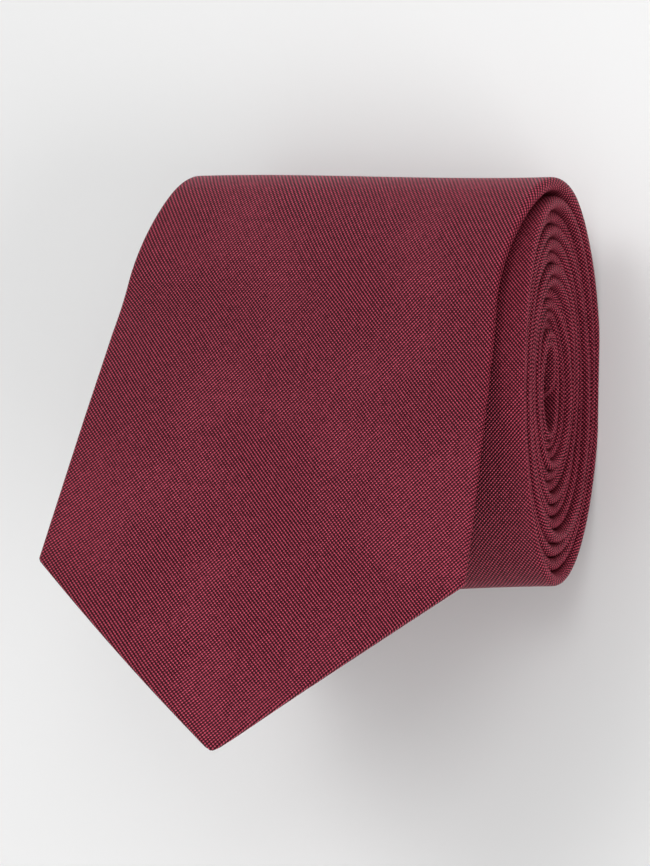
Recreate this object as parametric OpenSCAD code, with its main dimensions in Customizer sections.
// A necktie rolled flat for storage. The tail starts the roll and the wide blade ends it: the blade
// comes over the far fold and its free end springs up off the roll, with its point past the near fold.
// X runs along the axis of the roll, +Y points to the far fold, +Z up, and z = 0 is what it rests on.
// Places along the tie are measured from the blade's tip: s = 0 there, and s = tie_l at the tail's tip.

/* [Wide blade] */
// Width of the blade across its corners
blade_w = 80; // [66:1:96]
// Length of the blade's point, from the corners to the tip
tip_l = 32; // [26:1:40]
// Width of the hem turned back along the point
hem_w = 6; // [4:0.5:9]
// Distance from the bar tack, where the back edges meet, to the line where the blade lifts
tack_room = 12; // [9:0.5:20]
// Length of the silk panel of the blade
blade_l = 690; // [560:5:830]

/* [Neck and tail] */
// Width of the neck
neck_w = 34; // [28:1:40]
// Length of the silk panel of the neck
neck_l = 330; // [270:5:400]
// Width of the tail across its corners
tail_w = 44; // [36:1:52]
// Length of the tail's point
tail_tip_l = 20; // [16:1:24]
// Distance from the tail's tip to its bar tack
tail_tack_s = 46; // [38:1:60]
// Distance from the tail's tip to where the neck's width is reached
tail_taper_l = 310; // [250:5:380]

/* [Overall] */
// Length of the tie from tip to tip
tie_l = 1410; // [1170:10:1700]
// Length left free, from the far fold to the blade's tip
free_l = 110; // [90:1:132]

/* [Cloth, as pressed in the roll] */
// Thickness of the silk
silk_t = 0.15; // [0.12:0.01:0.2]
// Thickness of the lining inside the points
lining_t = 0.1; // [0.08:0.01:0.14]
// Thickness of the interlining
interlining_t = 0.3; // [0.2:0.01:0.36]
// Clearance between plies
ply_gap = 0.03; // [0.02:0.005:0.05]
// Gap between the back edges, which the slip stitch closes
seam_gap = 0.6; // [0.4:0.05:1]

/* [Roll] */
// Half the width of the innermost turn
core_a = 6.5; // [5:0.25:9]
// Height of the hollow in the innermost turn
core_h = 3.6; // [3:0.1:5]
// Room that each turn takes at the folds, by the core
pitch_in = 1.5; // [1.3:0.05:2]
// Room that each turn takes at the folds, at the outside
pitch_out = 2.75; // [2:0.05:3.2]
// Clearance between turns above the core
turn_gap_up = 0.12; // [0.08:0.01:0.3]
// Clearance between turns below the core
turn_gap_low = 0.2; // [0.1:0.01:0.3]
// Extra slack of the outermost turn
slack = 0.7; // [0.4:0.05:1.2]
// How far the underside is pressed flat
flat_depth = 0.5; // [0.3:0.05:0.8]
// How far each turn sits in from the one outside it, at the open end
recess = 0.15; // [0:0.05:0.4]

/* [Free blade] */
// Slope of the free blade where it leaves the roll
rise_deg = 16; // [12:0.5:20]
// Twist of the free blade at its corners
twist_deg = 9; // [0:0.5:12]
// Sideways lean of the free blade
skew_deg = 3; // [0:0.5:5]
// Gap at the line where the blade lifts off the roll
lift_gap = 0.4; // [0.3:0.05:0.8]
// Distance from the corners to the line where the point curls
flex_room = 16; // [10:1:22]
// Gap at the line where the point curls
flex_gap = 0.8; // [0.6:0.05:1.2]

/* [Loop, labels and stitches] */
// Width of the keeper loop along the tie
loop_w = 9; // [6:0.5:11]
// Length of the keeper loop across the tie
loop_l = 42; // [36:1:48]
// Thickness of the keeper loop
loop_t = 0.4; // [0.3:0.05:0.6]
// Room under the keeper loop
loop_room = 0.1; // [0.05:0.01:0.2]
// Width of a tack at each end of the loop
loop_tack_w = 1.2; // [0.8:0.1:2]
// Length of the maker's label across the tie
label_l = 46; // [36:1:50]
// Width of the maker's label along the tie
label_w = 14; // [10:0.5:16]
// Length of the care label across the tie
care_l = 24; // [18:1:30]
// Width of the care label along the tie
care_w = 11; // [8:0.5:13]
// Thickness of a label
label_t = 0.25; // [0.15:0.05:0.4]
// Width of the stitches at the ends of the label
stitch_w = 0.8; // [0.5:0.1:1.2]
// Thickness of sewing thread
thread_t = 0.4; // [0.3:0.05:0.5]
// Clearance around a thread in its seam
thread_gap = 0.05; // [0.02:0.01:0.1]
// Length of a bar tack along the tie
tack_w = 2.4; // [1.5:0.1:3]

/* [Hidden] */

silk_red = [0.50, 0.17, 0.26];
lining_red = [0.42, 0.12, 0.2];
thread_red = [0.38, 0.1, 0.17];
label_grey = [0.16, 0.15, 0.17];
wool_white = [0.86, 0.83, 0.76];

// Cloth of the tie: face silk, lining, interlining and back silk
cloth_h = 2*silk_t + lining_t + interlining_t + 3*ply_gap;
face_z = cloth_h/2;
back_z = -cloth_h/2;
lining_z0 = back_z + silk_t + ply_gap;
core_z0 = lining_z0 + lining_t + ply_gap;
core_z1 = core_z0 + interlining_t;

// Roll
layer_up = cloth_h + turn_gap_up;
layer_low = cloth_h + turn_gap_low;
layer_flat = cloth_h + turn_gap_up;
steps = 24;                       // stations in a turn
fold_share = 0.77;                // how much a turn's height adds to its length
len_2 = 2*pitch_in + (pitch_out - pitch_in)*2/3 + fold_share*(layer_up + layer_low)/2;
len_1 = 4*core_a + fold_share*core_h;
turns = (sqrt(len_1*len_1 + 4*len_2*(tie_l - free_l)) - len_1)/(2*len_2);
slack_turns = 0.6;

// Turn number n is 0 at the far fold where the free blade starts, and grows towards the core
function ease(x) = let (t = min(1, max(0, x))) t*t*(3 - 2*t);
function slack_at(n) = slack*ease(1 - n/slack_turns);
function half_width(n) = let (m = turns - n)
    core_a + pitch_in*m + (pitch_out - pitch_in)*m*m/(2*turns) + slack_at(n);
function half_up(n) = core_h/2 + layer_up*(turns - n) + slack_at(n);
function half_low(n) = core_h/2 + layer_low*(turns - n) + slack_at(n);
axis_z = face_z + half_low(0.25) - flat_depth;
function free_z(n) = axis_z - (sin(360*n) > 0 ? half_low(n) : half_up(n))*sin(360*n);
function floor_z(n) = face_z + layer_flat*floor(n + 0.25);
function is_flat(n) = free_z(n) < floor_z(n);
function turn_point(n) = [half_width(n)*cos(360*n), max(free_z(n), floor_z(n))];
function turn_normal(n) =
    let (a = half_width(n), b = sin(360*n) > 0 ? half_low(n) : half_up(n),
         v = is_flat(n) ? [0, -1] : [b*cos(360*n), -a*sin(360*n)])
    v/norm(v);

// Stations of the roll, from where the blade leaves it to inside the core
leave_k = -round(steps/360*atan(half_up(-0.15)/(half_width(-0.15)*tan(rise_deg))));
last_k = ceil((turns + 1)*steps);
ks = [for (k = [leave_k : last_k]) k];
spots = [for (k = ks) turn_point(k/steps)];
normals = [for (k = ks) turn_normal(k/steps)];
lengths = [for (i = 0, l = 0; i < len(ks);
                l = l + norm(spots[min(i + 1, len(ks) - 1)] - spots[i]), i = i + 1) l];
leave_s = free_l - lengths[-leave_k];
tack_s = leave_s - tack_room;
flex_s = tip_l + flex_room;
stations = [for (l = lengths) leave_s + l];
station_of = [for (i = [0 : len(ks) - 1]) [stations[i], i]];

// Width of the tie at s, and its middle in x on the roll: the right-hand edges lie flush
blade_taper_l = blade_l + 50;
tip_blunt = 1.6;
function width(s) = let (e = tie_l - s)
    s < tip_l ? max(2*tip_blunt, blade_w*s/tip_l)
    : s < blade_taper_l ? blade_w + (neck_w - blade_w)*(s - tip_l)/(blade_taper_l - tip_l)
    : e > tail_taper_l ? neck_w
    : e > tail_tip_l ? neck_w + (tail_w - neck_w)*(tail_taper_l - e)/(tail_taper_l - tail_tip_l)
    : max(2*tip_blunt, tail_w*e/tail_tip_l);
edge_x = width(leave_s)/2;
function body_width(s) = s > tie_l - tail_tip_l ? tail_w : width(s);
function middle_x(s) = edge_x - body_width(s)/2 - recess*max(0, (s - leave_s)/(tie_l - leave_s)*turns);

// Frame at s: [place, direction across, direction of the face]
function roll_frame(s) =
    let (f = lookup(s, station_of), i = min(floor(f), len(ks) - 2), t = f - i,
         p = spots[i]*(1 - t) + spots[i + 1]*t, v = normals[i]*(1 - t) + normals[i + 1]*t)
    [[middle_x(s), p.x, p.y], [1, 0, 0], [0, v.x, v.y]];
lean_run = 15;                    // length over which the lean builds up
function free_frame(s) =
    let (d = leave_s - s, p = spots[0], tw = twist_deg*d/(leave_s - tip_l),
         lean = tan(skew_deg), side = -lean*d*d/(d + lean_run),
         turn = atan(lean*(d*d + 2*lean_run*d)/pow(d + lean_run, 2)),
         across = [cos(turn), -sin(turn)*cos(rise_deg), sin(turn)*sin(rise_deg)],
         up = [0, sin(rise_deg), cos(rise_deg)])
    [[side, p.x - d*cos(rise_deg), p.y + d*sin(rise_deg)],
     across*cos(tw) - up*sin(tw), up*cos(tw) + across*sin(tw)];
function frame_at(s) = s < leave_s ? free_frame(s) : roll_frame(s);

// Stops along the tie between two places, with every station in between
free_step = 6.5;
lining_top = tack_s + 8;
free_stops = concat([for (i = [1 : 5]) tip_l*i/5],
                    [for (s = [tip_l + free_step : free_step : leave_s - free_step/2]) s],
                    [tack_s, lining_top]);
all_stops = concat(free_stops, stations,
                   [for (e = [tail_tip_l, tail_tack_s, tail_tack_s + hem_w]) tie_l - e]);
function sorted(v) = len(v) < 2 ? v
    : let (m = v[floor(len(v)/2)])
      concat(sorted([for (x = v) if (x < m) x]), [m], sorted([for (x = v) if (x > m) x]));
all_sorted = sorted(all_stops);
least_step = 0.4;
function stops(s0, s1) = concat([s0], [for (s = all_sorted) if (s > s0 + least_step
                                                            && s < s1 - least_step) s], [s1]);

// Half the opening between the back edges: the seam, and the vee that opens towards a point
function opening(s) =
    let (e = tie_l - s, h = width(s)/2, shut = seam_gap/2,
         at = s < tack_s ? [s, tip_l, tack_s, blade_w] : [e, tail_tip_l, tail_tack_s, tail_w],
         corner = at[3]/2 - hem_w)
    at[0] < at[1] ? max(shut, h - hem_w)
    : at[0] < at[2] ? shut + (corner - shut)*(at[2] - at[0])/(at[2] - at[1])
    : shut;

// Cross-sections, as lists of [across, out] points. In the free blade every ply also has points in
// line with the back edges, so that the plies stay parallel where the blade twists
function folded_section(s) =
    let (h = width(s)/2, e = opening(s), t = silk_t)
    [[-e, back_z], [-h, back_z], [-h, face_z], [h, face_z], [h, back_z], [e, back_z],
     [e, back_z + t], [h - t, back_z + t], [h - t, face_z - t],
     [-h + t, face_z - t], [-h + t, back_z + t], [-e, back_z + t]];
folded_cap = [[0, 1, 10, 11], [1, 2, 9, 10], [2, 3, 8, 9], [3, 4, 7, 8], [4, 5, 6, 7]];
function free_folded_section(s) =
    let (h = width(s)/2, e = opening(s), t = silk_t)
    [[-e, back_z], [-h, back_z], [-h, face_z], [-e, face_z], [e, face_z], [h, face_z],
     [h, back_z], [e, back_z], [e, back_z + t], [h - t, back_z + t], [h - t, face_z - t],
     [e, face_z - t], [-e, face_z - t], [-h + t, face_z - t], [-h + t, back_z + t],
     [-e, back_z + t]];
free_folded_cap = [[0, 1, 14, 15], [1, 2, 13, 14], [2, 3, 12, 13], [3, 4, 11, 12], [4, 5, 10, 11],
                   [5, 6, 9, 10], [6, 7, 8, 9]];
function flat_section(h, z0, z1) = [[-h, z0], [-h, z1], [h, z1], [h, z0]];
flat_cap = [[0, 1, 2, 3]];
function free_flat_section(h, e, z0, z1) =
    [[-h, z0], [-h, z1], [-e, z1], [e, z1], [h, z1], [h, z0], [e, z0], [-e, z0]];
free_flat_cap = [[0, 1, 2, 7], [7, 2, 3, 6], [6, 3, 4, 5]];

// A strip that runs through the stops with one section at each. Each wall is cut along the diagonal
// that starts at its left-hand side, so that plies that lie on each other have the same facets
module strip(at, sections, cap, side = 0) {
    n = len(sections[0]);
    last = len(at) - 1;
    points = [for (i = [0 : last]) let (f = frame_at(at[i]))
              for (p = sections[i]) f[0] + (p.x + side)*f[1] + p.y*f[2]];
    walls = [for (i = [0 : last - 1], j = [0 : n - 1])
             let (k = (j + 1) % n, a = i*n + j, b = i*n + k,
                  to_right = sections[i][j].x <= sections[i][k].x)
             each to_right ? [[a, a + n, b + n], [a, b + n, b]] : [[a, a + n, b], [b, a + n, b + n]]];
    ends = concat(cap, [for (q = cap) [for (k = [3 : -1 : 0]) q[k] + last*n]]);
    polyhedron(points, concat(walls, ends), convexity = 20);
}
module folded_strip(s0, s1) {
    at = stops(s0, s1);
    free = s1 < leave_s;
    strip(at, [for (s = at) free ? free_folded_section(s) : folded_section(s)],
          free ? free_folded_cap : folded_cap);
}
module filler_strip(s0, s1, z0, z1) {
    at = stops(s0, s1);
    free = s1 < leave_s;
    strip(at, [for (s = at) let (h = width(s)/2 - edge_room)
               free ? free_flat_section(h, opening(s), z0, z1) : flat_section(h, z0, z1)],
          free ? free_flat_cap : flat_cap);
}
module band(s0, s1, half, z0, z1, side = 0) {
    at = stops(s0, s1);
    strip(at, [for (s = at) flat_section(half, z0, z1)], flat_cap, side);
}

// Places along the tie
tip_start = 0.5;
wrap_s = leave_s + lift_gap/2;
flap_s1 = leave_s - lift_gap/2;
flap_s0 = flex_s + flex_gap/2;
point_s1 = flex_s - flex_gap/2;
seam_half = thread_t/2;
seam_1 = blade_l;
seam_2 = blade_l + neck_l;
edge_room = silk_t + ply_gap;
filler_start = 3.5;
tail_end = tie_l - 0.5;
function turn_s(n) = lookup(n*steps - leave_k, [for (i = [0 : len(ks) - 1]) [i, stations[i]]]);
loop_s = turn_s(0.5);
label_s = turn_s(1);
care_s = turn_s(1.5);

// Silk
module blade_silk_wrap() {
    color(silk_red) folded_strip(wrap_s, seam_1 - seam_half - thread_gap);
}
module blade_silk_flap() {
    color(silk_red) folded_strip(flap_s0, flap_s1);
}
module blade_silk_tip() {
    color(silk_red) folded_strip(tip_start, point_s1);
}
module neck_silk() {
    color(silk_red) folded_strip(seam_1 + seam_half + thread_gap, seam_2 - seam_half - thread_gap);
}
module tail_silk() {
    color(silk_red) folded_strip(seam_2 + seam_half + thread_gap, tail_end);
}

// Interlining and linings, inside the silk
module interlining_wrap() {
    color(wool_white) filler_strip(wrap_s, tail_end - filler_start, core_z0, core_z1);
}
module interlining_flap() {
    color(wool_white) filler_strip(flap_s0, flap_s1, core_z0, core_z1);
}
module interlining_tip() {
    color(wool_white) filler_strip(filler_start, point_s1, core_z0, core_z1);
}
module blade_tipping_upper() {
    color(lining_red) filler_strip(flap_s0, lining_top, lining_z0, lining_z0 + lining_t);
}
module blade_tipping_tip() {
    color(lining_red) filler_strip(filler_start, point_s1, lining_z0, lining_z0 + lining_t);
}
module tail_tipping() {
    color(lining_red) filler_strip(tie_l - tail_tack_s - hem_w, tail_end - filler_start,
                                   lining_z0, lining_z0 + lining_t);
}

// Keeper loop, held off the back of the blade by a tack at each end
loop_z0 = back_z - loop_room - loop_t;
module keeper_loop() {
    color(silk_red) band(loop_s - loop_w/2, loop_s + loop_w/2, loop_l/2, loop_z0,
                         back_z - loop_room);
}
module keeper_loop_tacks() {
    color(thread_red) for (e = [-1, 1])
        band(loop_s - loop_w/2, loop_s + loop_w/2, loop_tack_w/2, loop_z0, back_z,
             e*(loop_l + loop_tack_w)/2);
}

// Labels on the back of the blade
module maker_label() {
    color(label_grey) band(label_s - label_w/2, label_s + label_w/2, label_l/2,
                           back_z - label_t, back_z);
}
module maker_label_stitches() {
    color(thread_red) for (e = [-1, 1])
        band(label_s - label_w/2, label_s + label_w/2, stitch_w/2, back_z - label_t, back_z,
             e*(label_l + stitch_w)/2);
}
module care_label() {
    color("white") band(care_s - care_w/2, care_s + care_w/2, care_l/2, back_z - label_t, back_z);
}

// Stitching
stitch_half = seam_gap/2 - thread_gap;
stitch_z0 = back_z + thread_gap/2;
stitch_z1 = back_z + silk_t - thread_gap/2;
module slip_stitch() {
    color(thread_red) band(wrap_s, tie_l - tail_tack_s - tack_w, stitch_half, stitch_z0, stitch_z1);
}
module blade_bar_tack() {
    color(thread_red) band(tack_s, tack_s + tack_w, stitch_half, back_z - thread_t/2, stitch_z1);
}
module tail_bar_tack() {
    color(thread_red) band(tie_l - tail_tack_s - tack_w + thread_gap, tie_l - tail_tack_s,
                           stitch_half, stitch_z0, stitch_z1);
}
module panel_seam(s) {
    color(thread_red) band(s - seam_half, s + seam_half, width(s)/2 - silk_t,
                           face_z - silk_t + thread_gap/2, face_z - thread_gap/2);
}
module blade_neck_seam() {
    panel_seam(seam_1);
}
module neck_tail_seam() {
    panel_seam(seam_2);
}

blade_silk_wrap();
blade_silk_flap();
blade_silk_tip();
neck_silk();
tail_silk();
interlining_wrap();
interlining_flap();
interlining_tip();
blade_tipping_upper();
blade_tipping_tip();
tail_tipping();
keeper_loop();
keeper_loop_tacks();
maker_label();
maker_label_stitches();
care_label();
slip_stitch();
blade_bar_tack();
tail_bar_tack();
blade_neck_seam();
neck_tail_seam();
